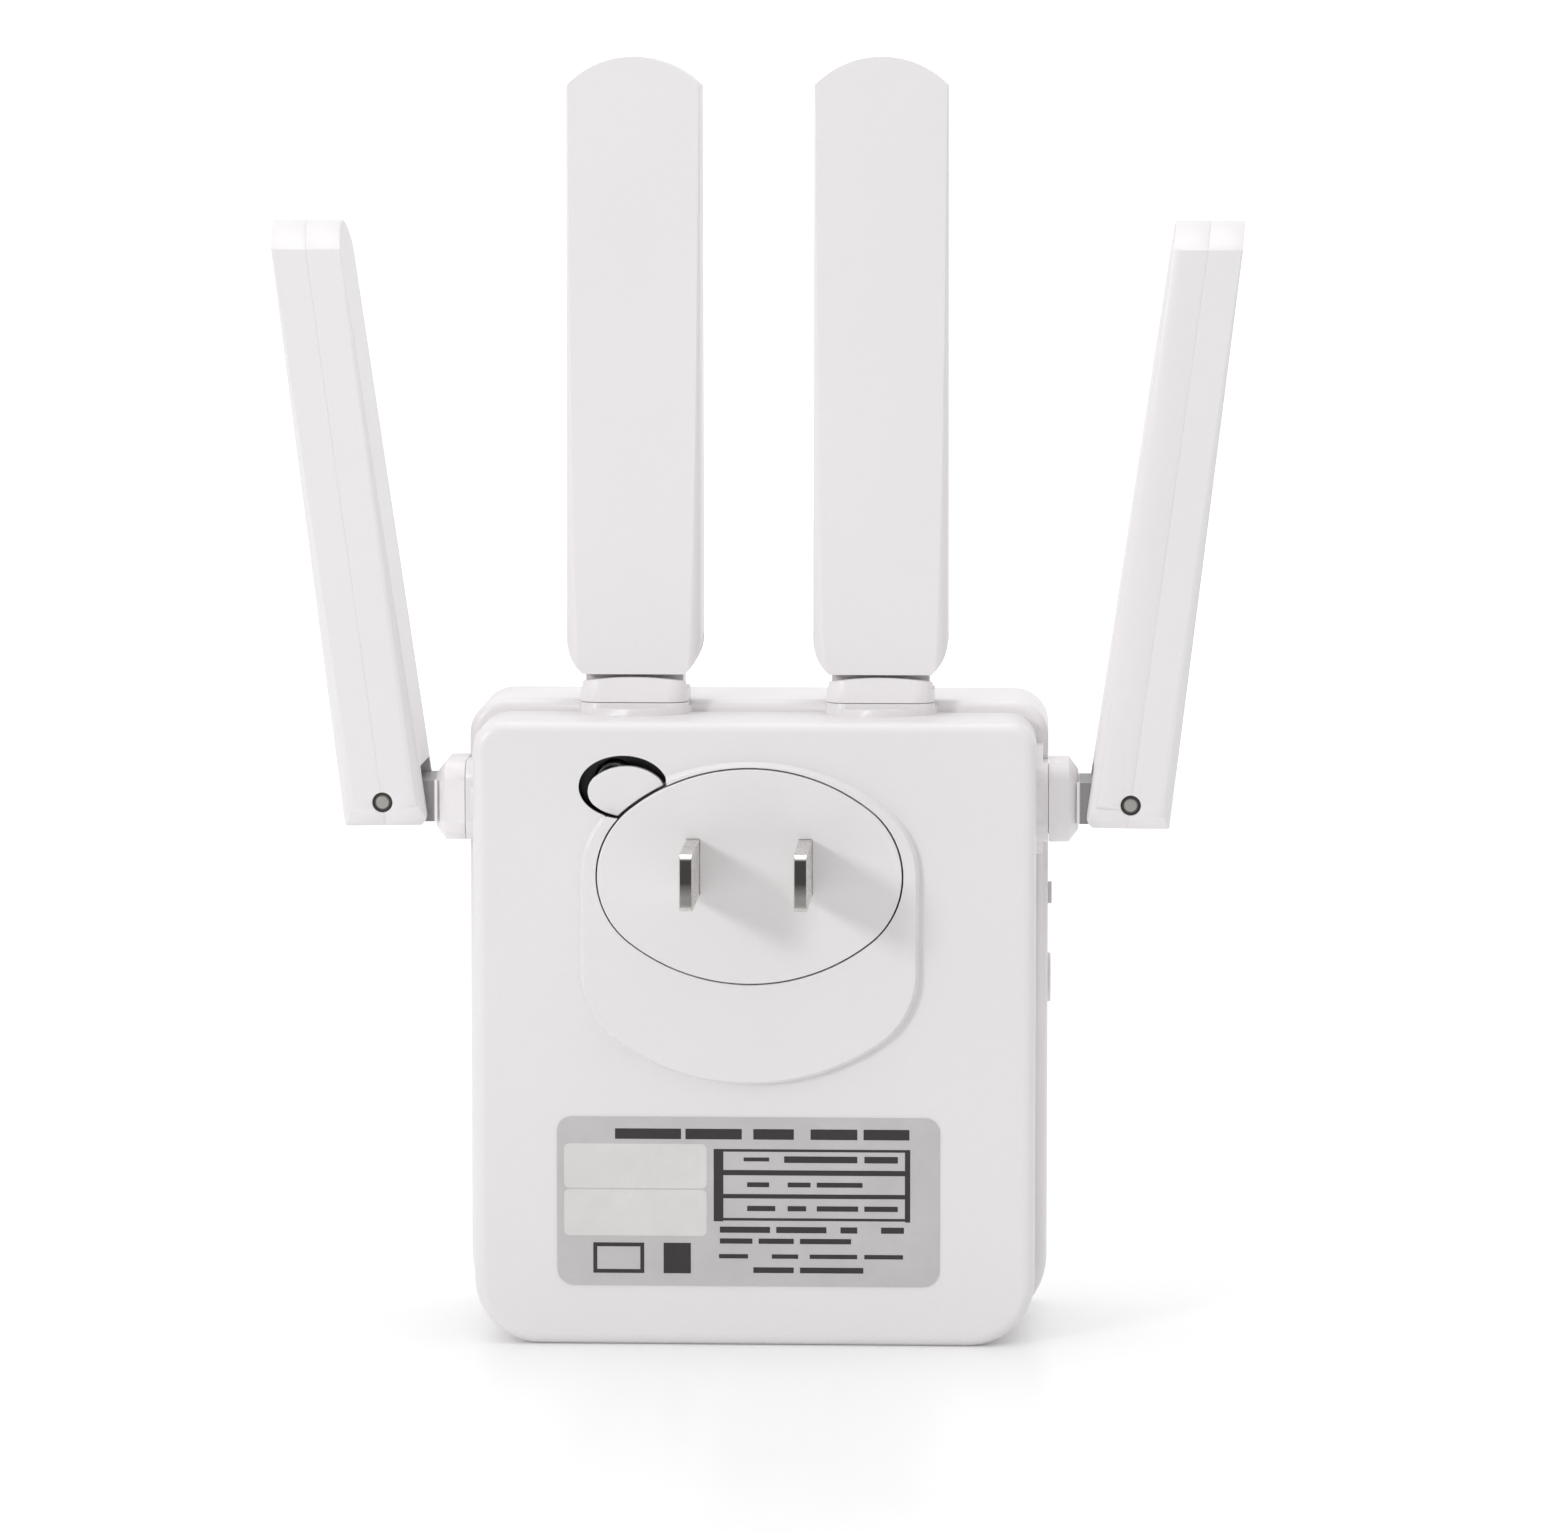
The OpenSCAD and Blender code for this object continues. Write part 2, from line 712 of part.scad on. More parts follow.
// Coil between the button and the guide: rings of points along a helix
module release_spring() color(STEEL) {
  y0 = button_face + button_t + spring_wire + 0.05;
  y1 = guide_y - spring_wire - 0.05;
  n = spring_turns * spring_steps;
  rings = [for (i = [0:n]) for (j = [0:spring_sides - 1])
    let (a = 360 * i / spring_steps, b = 360 * j / spring_sides, r = spring_r + spring_wire * cos(b))
    [stem_x + r * cos(a), y0 + (y1 - y0) * i / n + spring_wire * sin(b), stem_z + r * sin(a)]];
  sides = [for (i = [0:n - 1]) for (j = [0:spring_sides - 1])
    let (k = (j + 1) % spring_sides, p = i * spring_sides, q = p + spring_sides)
    [p + j, q + j, q + k, p + k]];
  ends = [[for (j = [0:spring_sides - 1]) j],
          [for (j = [spring_sides - 1:-1:0]) n * spring_sides + j]];
  polyhedron(rings, concat(sides, ends));
}

// ---- one antenna, in its own frame ----

module swivel_base(neck, collar_h, taper) {
  under = -neck - collar_h;
  difference() {
    union() {
      rod_x([-tongue_a, 0, 0], 2 * tongue_a, knuckle_r);
      box([-tongue_a, -neck_t / 2, -neck - 0.2], [tongue_a, neck_t / 2, 0]);
      translate([0, 0, under]) linear_extrude(collar_h - taper) collar_outline();
      if (taper > 0) translate([0, 0, -neck - taper]) collar_taper(taper, 1.5);
      if (taper == 0) collar_lip();
      translate([0, 0, under - barrel_l]) cylinder(r = barrel_r, h = barrel_l + 0.2);
    }
    rod_x([-tongue_a - over, 0, 0], 2 * (tongue_a + over), pin_r + pin_gap);
    translate([0, 0, under - barrel_l - over]) cylinder(r = 1, h = barrel_l + collar_h + neck - 3.2 + over);
    translate([0, 0, under - lift - seat_depth - 0.1 - ring_t - 0.1]) difference() {
      cylinder(r = barrel_r + over, h = ring_t + 0.1);
      translate([0, 0, -over]) cylinder(r = barrel_r - 0.8, h = ring_t + 0.1 + 2 * over);
    }
  }
}

// Lip that stands behind the foot of an upper antenna
module collar_lip() {
  intersection() {
    translate([0, 0, -top_neck - 0.2]) linear_extrude(top_neck) collar_outline();
    slab_y(-collar_b - over, -lip_y) translate([0, -foot - lip_gap - dome_r]) circle(dome_r);
  }
}

// Open ring that snaps into the barrel's groove, inside the casing
module retaining_ring(neck, collar_h) {
  translate([0, 0, -neck - collar_h - lift - seat_depth - 0.15 - ring_t]) difference() {
    cylinder(r = 5.3, h = ring_t);
    translate([0, 0, -over]) cylinder(r = barrel_r - 0.75, h = ring_t + 2 * over);
    box([-2.2, -7, -over], [2.2, 0, ring_t + over]);
  }
}

module hinge_pin() {
  rod_x([-pin_l / 2, 0, 0], pin_l, pin_r);
}

ant_top = ant_l - foot;
crown = 1;                               // the outlines run this far past the tip
arch = 3.2;                              // rise of the arched end
tip_w = ant_w - 0.3;
arch_r = (tip_w ^ 2 / 4 + arch ^ 2) / (2 * arch);
foot_rise = 4;                           // height over which the lower corners draw in
foot_in = 1.9;                           // how far they draw in
foot_r = (foot_in ^ 2 + foot_rise ^ 2) / (2 * foot_in);
edge_r = 1.7;

// Outline seen from the wide side: drawn-in foot and slight taper
module wide_outline() {
  z_foot = foot_rise - foot;
  z_top = ant_top + crown;
  intersection() {
    union() {
      polygon([[-ant_w / 2, z_foot], [ant_w / 2, z_foot], [tip_w / 2, z_top], [-tip_w / 2, z_top]]);
      intersection() {
        for (s = [-1, 1]) translate([s * (ant_w / 2 - foot_r), z_foot]) circle(foot_r);
        translate([-ant_w, -ant_w]) square([2 * ant_w, ant_w + z_foot]);
      }
    }
    translate([-ant_w, -foot]) square([2 * ant_w, ant_l + crown]);
  }
}

// Outline seen from the edge: tapered, with the slot side's lower corner rounded to r
module edge_outline(r) {
  h = ant_t / 2;
  z_top = ant_top + crown;
  intersection() {
    union() {
      intersection() {
        translate([h - r, r - foot]) circle(r);
        translate([-h, -foot]) square([ant_t, r]);
      }
      polygon([[-h, -foot], [h - r, -foot], [h - r, r - foot], [h, r - foot],
               [ant_tip_t / 2, z_top], [-ant_tip_t / 2, z_top]]);
    }
    translate([-ant_t, -foot]) square([2 * ant_t, ant_l + crown]);
  }
}

// Arched tip; a slant lowers it on the slot side
module tip_shape(slant) {
  translate([0, 0, ant_top]) rotate([-slant, 0, 0]) slab_y(-ant_l, ant_l) {
    translate([0, -arch_r]) circle(arch_r);
    translate([-ant_w, -2 * ant_l]) square([2 * ant_w, 2 * ant_l - arch_r]);
  }
}

module antenna_block(slant, r) {
  difference() {
    intersection() {
      slab_y(-ant_t, ant_t) wide_outline();
      rotate([90, 0, 90]) translate([0, 0, -ant_w]) linear_extrude(2 * ant_w) edge_outline(r);
      translate([0, 0, -foot]) linear_extrude(ant_l + crown) rounded_section();
      tip_shape(slant);
    }
    if (slant > 0) translate([0, ant_t / 2, -foot]) rotate([-slant, 0, 0])
      box([-ant_w, -2 * ant_t, -ant_t], [ant_w, ant_t, 0]);
  }
}

module rounded_section() {
  square([ant_w - 2 * edge_r, ant_t], center = true);
  square([ant_w, ant_t - 2 * edge_r], center = true);
  for (s = [-1, 1], t = [-1, 1])
    translate([s * (ant_w / 2 - edge_r), t * (ant_t / 2 - edge_r)]) circle(edge_r);
}

cavity_z = [5.2, 61];
cavity_a = 5.7;
cavity_b = 2.3;
rib_zs = [20, 45];
strip_b = 0.4;

// Half of the shell; side is 1 for the half with the slot and -1 for the plain one
module antenna_half(side, slant, r) {
  difference() {
    antenna_block(slant, r);
    box([-ant_w, side > 0 ? -ant_t : 0, -ant_l], [ant_w, side > 0 ? 0 : ant_t, ant_l]);
    difference() {
      box([-cavity_a, -cavity_b, cavity_z[0]], [cavity_a, cavity_b, cavity_z[1]]);
      for (z = rib_zs, t = [-1, 1])
        box([-3, t > 0 ? strip_b : -cavity_b - over, z], [3, t > 0 ? cavity_b + over : -strip_b, z + 1.2]);
    }
    box([-slot_a, back_wall - ant_t / 2, -foot - over], [slot_a, ant_t, 3.4]);
    translate([0, 0, 3]) cylinder(r = 0.8, h = 4);
    rod_x([-ant_w, 0, 0], 2 * ant_w, pin_r + 0.01);
  }
}

module radiator() {
  box([-2.5, -strip_b, 8], [2.5, strip_b, 58]);
  translate([0, 0, 3.6]) cylinder(r = 0.6, h = 4.6);
}

// ---- the four antennas ----

module top_left_swivel_base() color(PLASTIC) at_top(-1) swivel_base(top_neck, top_collar_h, 0);
module top_left_retaining_ring() color(STEEL) at_top(-1) retaining_ring(top_neck, top_collar_h);
module top_left_hinge_pin() color(DARK) at_top(-1) hinge_pin();
module top_left_outer_half() color(PLASTIC) at_top(-1) antenna_half(-1, 0, top_foot_r);
module top_left_inner_half() color(PLASTIC) at_top(-1) antenna_half(1, 0, top_foot_r);
module top_left_radiator() color(GOLD) at_top(-1) radiator();

module top_right_swivel_base() color(PLASTIC) at_top(1) swivel_base(top_neck, top_collar_h, 0);
module top_right_retaining_ring() color(STEEL) at_top(1) retaining_ring(top_neck, top_collar_h);
module top_right_hinge_pin() color(DARK) at_top(1) hinge_pin();
module top_right_outer_half() color(PLASTIC) at_top(1) antenna_half(-1, 0, top_foot_r);
module top_right_inner_half() color(PLASTIC) at_top(1) antenna_half(1, 0, top_foot_r);
module top_right_radiator() color(GOLD) at_top(1) radiator();

module folded_side(s) {
  at_side(s) rotate([-side_fold, 0, 0]) children();
}

module side_left_swivel_base() color(PLASTIC) at_side(-1) swivel_base(side_neck, side_collar_h, side_taper);
module side_left_retaining_ring() color(STEEL) at_side(-1) retaining_ring(side_neck, side_collar_h);
module side_left_hinge_pin() color(DARK) folded_side(-1) hinge_pin();
module side_left_outer_half() color(PLASTIC) folded_side(-1) antenna_half(-1, side_lean, side_foot_r);
module side_left_inner_half() color(PLASTIC) folded_side(-1) antenna_half(1, side_lean, side_foot_r);
module side_left_radiator() color(GOLD) folded_side(-1) radiator();

module side_right_swivel_base() color(PLASTIC) at_side(1) swivel_base(side_neck, side_collar_h, side_taper);
module side_right_retaining_ring() color(STEEL) at_side(1) retaining_ring(side_neck, side_collar_h);
module side_right_hinge_pin() color(DARK) folded_side(1) hinge_pin();
module side_right_outer_half() color(PLASTIC) folded_side(1) antenna_half(-1, side_lean, side_foot_r);
module side_right_inner_half() color(PLASTIC) folded_side(1) antenna_half(1, side_lean, side_foot_r);
module side_right_radiator() color(GOLD) folded_side(1) radiator();

rear_cover();
front_cover();
rating_label();
light_guide();
status_leds();
main_board();
power_board();
insulator_sheet();
board_link();
shield_can();
wifi_chip();
memory_chip();
wan_jack();
lan_jack();
jack_contacts();
reset_switch();
wps_switch();
mode_switch();
transformer_core();
transformer_winding();
input_capacitor();
output_capacitor();
fuse();
contact_springs();
release_spring();
case_screws();
board_screws();
feed_cables();
plug_plate();
plug_blade_left();
plug_blade_right();
release_button();
wps_button();
mode_knob();
reset_plunger();
top_left_swivel_base();
top_left_retaining_ring();
top_left_hinge_pin();
top_left_outer_half();
top_left_inner_half();
top_left_radiator();
top_right_swivel_base();
top_right_retaining_ring();
top_right_hinge_pin();
top_right_outer_half();
top_right_inner_half();
top_right_radiator();
side_left_swivel_base();
side_left_retaining_ring();
side_left_hinge_pin();
side_left_outer_half();
side_left_inner_half();
side_left_radiator();
side_right_swivel_base();
side_right_retaining_ring();
side_right_hinge_pin();
side_right_outer_half();
side_right_inner_half();
side_right_radiator();
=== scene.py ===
"""Looks of the wifi range extender: materials, printed label, stage, light and camera."""
import json
import math

import bmesh
import bpy
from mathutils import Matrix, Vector


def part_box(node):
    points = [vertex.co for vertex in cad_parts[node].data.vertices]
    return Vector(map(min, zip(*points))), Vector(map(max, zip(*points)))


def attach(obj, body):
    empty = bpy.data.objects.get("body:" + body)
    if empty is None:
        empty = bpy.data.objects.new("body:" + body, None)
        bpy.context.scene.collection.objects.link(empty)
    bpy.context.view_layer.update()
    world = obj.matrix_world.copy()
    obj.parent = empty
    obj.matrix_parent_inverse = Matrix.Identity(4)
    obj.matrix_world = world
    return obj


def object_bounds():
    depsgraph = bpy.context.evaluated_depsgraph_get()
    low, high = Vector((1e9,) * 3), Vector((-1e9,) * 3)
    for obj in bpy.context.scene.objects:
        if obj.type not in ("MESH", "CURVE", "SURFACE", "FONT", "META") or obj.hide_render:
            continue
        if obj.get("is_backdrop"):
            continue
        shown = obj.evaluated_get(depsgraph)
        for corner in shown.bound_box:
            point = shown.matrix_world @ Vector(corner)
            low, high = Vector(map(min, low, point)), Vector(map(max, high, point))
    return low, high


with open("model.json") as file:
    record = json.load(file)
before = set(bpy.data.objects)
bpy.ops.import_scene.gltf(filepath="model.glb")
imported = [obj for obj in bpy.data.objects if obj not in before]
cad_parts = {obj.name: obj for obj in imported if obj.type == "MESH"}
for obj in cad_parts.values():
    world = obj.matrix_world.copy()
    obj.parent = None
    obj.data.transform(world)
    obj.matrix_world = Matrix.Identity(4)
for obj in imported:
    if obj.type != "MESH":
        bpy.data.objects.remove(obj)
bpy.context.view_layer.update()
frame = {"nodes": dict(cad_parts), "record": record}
NODES = frame["nodes"]
MM = 0.001
BUMP_DISTANCE = 0.05 * MM                # height that a full bump stands for


# ---- node trees ----

class Surface:
    """A material with one Principled shader, and short ways to add nodes to it."""

    def __init__(self, name, color, roughness, **sockets):
        self.material = bpy.data.materials.new(name)
        self.material.use_nodes = True
        self.tree = self.material.node_tree
        self.shader = self.tree.nodes["Principled BSDF"]
        self.color = (*color, 1)
        self.shader.inputs["Base Color"].default_value = self.color
        self.shader.inputs["Roughness"].default_value = roughness
        for socket, value in sockets.items():
            self.shader.inputs[socket.replace("_", " ")].default_value = value
        self.place = self.add("ShaderNodeTexCoord").outputs["Object"]

    def add(self, kind, **settings):
        node = self.tree.nodes.new(kind)
        for key, value in settings.items():
            setattr(node, key, value)
        return node

    def link(self, source, target):
        self.tree.links.new(source, target)

    def math(self, operation, a, b=0.0):
        node = self.add("ShaderNodeMath", operation=operation)
        for socket, value in zip(node.inputs, (a, b)):
            if isinstance(value, (int, float)):
                socket.default_value = value
            else:
                self.link(value, socket)
        return node.outputs[0]

    def scaled(self, size, stretch=(1, 1, 1)):
        """The point in units of size metres, with finer units where stretch is more than 1."""
        mapping = self.add("ShaderNodeMapping")
        mapping.inputs["Scale"].default_value = [s / size for s in stretch]
        self.link(self.place, mapping.inputs["Vector"])
        return mapping.outputs[0]

    def noise(self, size, detail=3.0, roughness=0.5, stretch=(1, 1, 1)):
        """Noise from 0 to 1 whose features are about size metres across."""
        noise = self.add("ShaderNodeTexNoise")
        noise.inputs["Scale"].default_value = 1
        noise.inputs["Detail"].default_value = detail
        noise.inputs["Roughness"].default_value = roughness
        self.link(self.scaled(size, stretch), noise.inputs["Vector"])
        return noise.outputs["Fac"]

    def spread(self, value, low, high, start=0.3, end=0.7):
        """Maps value from start..end to low..high, held at both ends."""
        node = self.add("ShaderNodeMapRange")
        for socket, number in zip(("From Min", "From Max", "To Min", "To Max"), (start, end, low, high)):
            node.inputs[socket].default_value = number
        self.link(value, node.inputs["Value"])
        return node.outputs[0]

    def mix(self, factor, a, b):
        node = self.add("ShaderNodeMix", data_type="RGBA")
        for socket, value in ((node.inputs["Factor"], factor), (node.inputs["A"], a), (node.inputs["B"], b)):
            if isinstance(value, (int, float, tuple)):
                socket.default_value = value
            else:
                self.link(value, socket)
        return node.outputs["Result"]

    def linked(self, name):
        """What drives a socket of the shader so far."""
        return self.shader.inputs[name].links[0].from_socket

    def paint(self, color):
        self.link(color, self.shader.inputs["Base Color"])

    def roughen(self, value):
        self.link(value, self.shader.inputs["Roughness"])

    def bump(self, *heights):
        """Adds up (height, depth in metres) pairs as one bump."""
        total = None
        for height, depth in heights:
            part = self.math("MULTIPLY", height, depth / BUMP_DISTANCE)
            total = part if total is None else self.math("ADD", total, part)
        node = self.add("ShaderNodeBump")
        node.inputs["Strength"].default_value = 1
        node.inputs["Distance"].default_value = BUMP_DISTANCE
        self.link(total, node.inputs["Height"])
        self.link(node.outputs["Normal"], self.shader.inputs["Normal"])

    def axis(self, name):
        """One coordinate of the point, in metres."""
        node = self.add("ShaderNodeSeparateXYZ")
        self.link(self.place, node.inputs[0])
        return node.outputs[name]

    def across_box(self):
        """The point's coordinates from 0 to 1 across the object's own box."""
        node = self.add("ShaderNodeSeparateXYZ")
        self.link(self.add("ShaderNodeTexCoord").outputs["Generated"], node.inputs[0])
        return node.outputs


def tint(color, factor):
    return (*[min(1.0, c * factor) for c in color], 1)


def moulded_plastic(name, color, roughness, grain, **sockets):
    """Moulded plastic: faint flow marks, fine grain, sink, handling haze and hairlines."""
    s = Surface(name, color, roughness, **sockets)
    flow = s.noise(30 * MM, 2, 0.5)
    fine = s.noise(0.3 * MM, 2, 0.6)
    grey = s.mix(s.spread(flow, 0, 1), tint(color, 0.985), tint(color, 1.01))
    s.paint(s.mix(s.spread(fine, 0, 0.5), grey, tint(color, 0.97)))
    haze = s.spread(s.noise(12 * MM, 3, 0.5), roughness - 0.03, roughness + 0.04, 0.2, 0.8)
    hairlines = s.spread(s.noise(0.35 * MM, 2, 0.5, (1, 1, 0.02)), 0, 0.05, 0.55, 0.8)
    s.roughen(s.math("ADD", haze, hairlines))
    s.bump((s.noise(0.22 * MM, 2, 0.55), grain), (s.noise(8 * MM, 1, 0.5), 3 * grain))
    return s


def sheet_metal(name, color, roughness, along=(1, 1, 1)):
    """Drawn or stamped metal: lines along the grain, tarnish and small dents."""
    s = Surface(name, color, roughness, Metallic=1.0)
    lines = s.noise(0.12 * MM, 3, 0.6, along)
    tarnish = s.noise(3 * MM, 4, 0.6)
    s.paint(s.mix(s.spread(tarnish, 0, 1), tint(color, 0.78), tint(color, 1.08)))
    s.roughen(s.math("ADD", s.spread(lines, roughness - 0.06, roughness + 0.1), s.spread(tarnish, 0, 0.1)))
    s.bump((lines, 0.004 * MM), (tarnish, 0.01 * MM))
    return s


def blade_with_painted_end_reflection(name, color, roughness):
    """Bright plated blade whose sheared end is dull and painted dark: partly the dull cut metal, partly a
    painted reflection that makes its upper part darker than its lower part.
    """
    s = sheet_metal(name, color, roughness, (1, 0.05, 1))
    across = s.across_box()
    # The end's dark colour, darker above than below, is partly a painted reflection
    end = s.math("MULTIPLY", s.spread(across["Y"], 1, 0, 0.004, 0.016),
                 s.spread(across["Z"], 0.55, 1, 0.25, 0.5))
    s.paint(s.mix(end, s.linked("Base Color"), tint(color, 0.1)))
    s.roughen(s.math("ADD", s.linked("Roughness"), s.math("MULTIPLY", end, 0.3)))
    return s


def plain_board(name, color, track, size):
    """Laminate with tracks showing through its lacquer."""
    s = Surface(name, color, 0.4)
    tracks = s.add("ShaderNodeTexVoronoi", feature="DISTANCE_TO_EDGE", distance="MANHATTAN")
    s.link(s.scaled(size), tracks.inputs["Vector"])
    tracks.inputs["Scale"].default_value = 1
    line = s.spread(tracks.outputs["Distance"], 1, 0, 0.04, 0.07)
    s.paint(s.mix(line, (*color, 1), (*track, 1)))
    s.roughen(s.spread(s.noise(2 * MM), 0.32, 0.48))
    s.bump((line, 0.03 * MM))
    return s


def printed_film(name, color):
    """Label film: a fine print screen under a satin coat, a little worn."""
    s = Surface(name, color, 0.4)
    screen = s.noise(0.12 * MM, 1, 0.5)
    wear = s.noise(5 * MM, 3, 0.6)
    base = s.mix(s.spread(wear, 0, 1), tint(color, 0.95), tint(color, 1.05))
    s.paint(s.mix(s.spread(screen, 0, 0.6), base, tint(color, 0.92)))
    s.roughen(s.spread(wear, 0.36, 0.46))
    s.bump((screen, 0.001 * MM), (wear, 0.004 * MM))
    return s


def turned_pin(name, color, around):
    """Drawn pin: a dark rim of painted shade, standing in for a chamfer, round a brighter sawn end; around
    is the pair of axes across it.
    """
    s = Surface(name, color, 0.4, Metallic=1.0)
    across = s.across_box()
    squares = [s.math("POWER", s.math("SUBTRACT", across[axis], 0.5), 2) for axis in around]
    radius = s.math("SQRT", s.math("ADD", *squares))
    marks = s.noise(0.2 * MM, 3, 0.6)
    # The dark rim is painted shade in place of a chamfer round the end
    chamfer_shade = s.spread(radius, 0, 1, 0.27, 0.36)
    s.paint(s.mix(chamfer_shade, tint(color, 2.2), tint(color, 0.35)))
    s.roughen(s.spread(marks, 0.34, 0.5))
    s.bump((marks, 0.006 * MM), (chamfer_shade, -0.03 * MM))
    return s


WHITE = (0.83, 0.805, 0.815)
# The front cover is painted lighter than the casing's white, as painted light on its shaded ledge
FRONT_PAINTED_LIGHT_WHITE = (0.86, 0.834, 0.844)
ANTENNA_WHITE = (0.85, 0.825, 0.835)
# The swivels are painted lighter still, as painted light on their shaded collars
SWIVEL_PAINTED_LIGHT_WHITE = (0.9, 0.873, 0.884)
# Dark grey painted on the side swivels' necks as the shade of the gap by the antenna
NECK_SHADE_COLOR = (0.27, 0.262, 0.262, 1)
# Near black painted in the release button's well as the shade of its deep gap
WELL_SHADE_COLOR = (0.012, 0.012, 0.013, 1)
PIN_COLOR = (0.22, 0.21, 0.2)
CASING_FINISH = (0.3, 0.0012 * MM)       # roughness, and depth of the grain
ANTENNA_FINISH = (0.36, 0.0025 * MM)
MATERIALS = {
    "casing": moulded_plastic("casing", WHITE, *CASING_FINISH),
    "antenna": moulded_plastic("antenna", ANTENNA_WHITE, *ANTENNA_FINISH),
    "label": printed_film("label", (0.56, 0.545, 0.545)),
    "light_guide": moulded_plastic("light_guide", (0.9, 0.95, 0.97), 0.12, 0.0005 * MM,
                                   Transmission_Weight=0.8),
    "led": moulded_plastic("led", (0.9, 0.85, 0.6), 0.25, 0.001 * MM),
    "circuit_board": plain_board("circuit_board", (0.02, 0.13, 0.06), (0.03, 0.2, 0.09), 3 * MM),
    "power_board": plain_board("power_board", (0.5, 0.36, 0.16), (0.42, 0.3, 0.12), 5 * MM),
    "insulator": moulded_plastic("insulator", (0.85, 0.8, 0.5), 0.35, 0.001 * MM),
    "black_plastic": moulded_plastic("black_plastic", (0.018, 0.018, 0.02), 0.45, 0.004 * MM),
    "tinned_steel": sheet_metal("tinned_steel", (0.66, 0.67, 0.68), 0.3, (1, 1, 0.05)),
    "gilt_contact": sheet_metal("gilt_contact", (0.9, 0.66, 0.25), 0.22, (1, 1, 0.05)),
    "ferrite": moulded_plastic("ferrite", (0.05, 0.048, 0.045), 0.6, 0.006 * MM),
    "winding_tape": moulded_plastic("winding_tape", (0.75, 0.55, 0.04), 0.35, 0.002 * MM),
    "capacitor_sleeve": moulded_plastic("capacitor_sleeve", (0.02, 0.025, 0.045), 0.3, 0.002 * MM),
    "ceramic": moulded_plastic("ceramic", (0.72, 0.69, 0.62), 0.5, 0.004 * MM),
    "spring_brass": sheet_metal("spring_brass", (0.83, 0.62, 0.28), 0.3, (1, 1, 0.05)),
    "screw_steel": sheet_metal("screw_steel", (0.5, 0.5, 0.5), 0.32),
    "cable_jacket": moulded_plastic("cable_jacket", (0.02, 0.02, 0.02), 0.55, 0.003 * MM),
    "blade_metal": blade_with_painted_end_reflection("blade_metal", (0.72, 0.7, 0.68), 0.2),
    "pin_metal": turned_pin("pin_metal", PIN_COLOR, "XZ"),
    "knob": moulded_plastic("knob", (0.74, 0.725, 0.73), 0.42, 0.003 * MM),
}

NECK_SHADE_START = 36.7 * MM                   # where the painted shade on a side swivel's neck starts, from the middle
NECK_SHADE_EDGE = 0.15 * MM                    # width of the step into the painted shade
# Ovals on the rear face: middle x and z, half width and half height
BUTTON_OVAL = (-14.75 * MM, 63.85 * MM, 5.05 * MM, 3.55 * MM)
PLUG_OVAL = (-0.45 * MM, 53.85 * MM, 17.4 * MM, 12.35 * MM)
WELL_SHADE_START = -14.15 * MM               # y where the painted shade in the release button's well starts, just under the land's face


def side_swivel_with_painted_neck_shade(name, color):
    """Antenna plastic for a side swivel, with painted shade: its neck beyond the collar is painted dark grey
    where the gap by the antenna lies in shade.
    """
    s = moulded_plastic(name, color, *ANTENNA_FINISH)
    neck_shade = s.spread(s.math("ABSOLUTE", s.axis("X")), 0, 1, NECK_SHADE_START, NECK_SHADE_START + NECK_SHADE_EDGE)
    s.paint(s.mix(neck_shade, s.linked("Base Color"), NECK_SHADE_COLOR))
    return s


def oval_reach(s, oval):
    """Below 1 inside the oval and above 1 outside it."""
    squares = []
    for axis, middle, half in zip("XZ", oval[:2], oval[2:]):
        squares.append(s.math("POWER", s.math("DIVIDE", s.math("SUBTRACT", s.axis(axis), middle), half), 2))
    return s.math("ADD", *squares)


def rear_casing_with_painted_well_shade(name, color):
    """Casing plastic for the rear cover, with painted shade: the release button's deep well is painted near
    black as the shade in its gap.
    """
    s = moulded_plastic(name, color, *CASING_FINISH)
    within = s.math("LESS_THAN", oval_reach(s, BUTTON_OVAL), 1)
    beyond = s.math("GREATER_THAN", oval_reach(s, PLUG_OVAL), 1)
    below = s.math("GREATER_THAN", s.axis("Y"), WELL_SHADE_START)
    well_shade = s.math("MULTIPLY", s.math("MULTIPLY", within, beyond), below)
    s.paint(s.mix(well_shade, s.linked("Base Color"), WELL_SHADE_COLOR))
    return s


# Surfaces for single nodes; every other node has the surface of its material slot
OWN_SURFACES = {
    "rear_cover": rear_casing_with_painted_well_shade("rear_casing", WHITE),
    "front_cover": moulded_plastic("front_casing", FRONT_PAINTED_LIGHT_WHITE, *CASING_FINISH),
}
SIDE_SWIVEL = side_swivel_with_painted_neck_shade("side_swivel", SWIVEL_PAINTED_LIGHT_WHITE)
TOP_SWIVEL = moulded_plastic("top_swivel", SWIVEL_PAINTED_LIGHT_WHITE, *ANTENNA_FINISH)
LYING_PIN = turned_pin("lying_pin", PIN_COLOR, "YZ")
for hand in ("left", "right"):
    OWN_SURFACES["side_" + hand + "_swivel_base"] = SIDE_SWIVEL
    OWN_SURFACES["top_" + hand + "_swivel_base"] = TOP_SWIVEL
    OWN_SURFACES["top_" + hand + "_hinge_pin"] = LYING_PIN
slot_of = {part["node"]: part["material_slot"] for part in frame["record"]["subparts"]}
for name, node in NODES.items():
    surface = OWN_SURFACES.get(name) or MATERIALS[slot_of[name]]
    node.data.materials.clear()
    node.data.materials.append(surface.material)


# ---- stage, light and camera ----

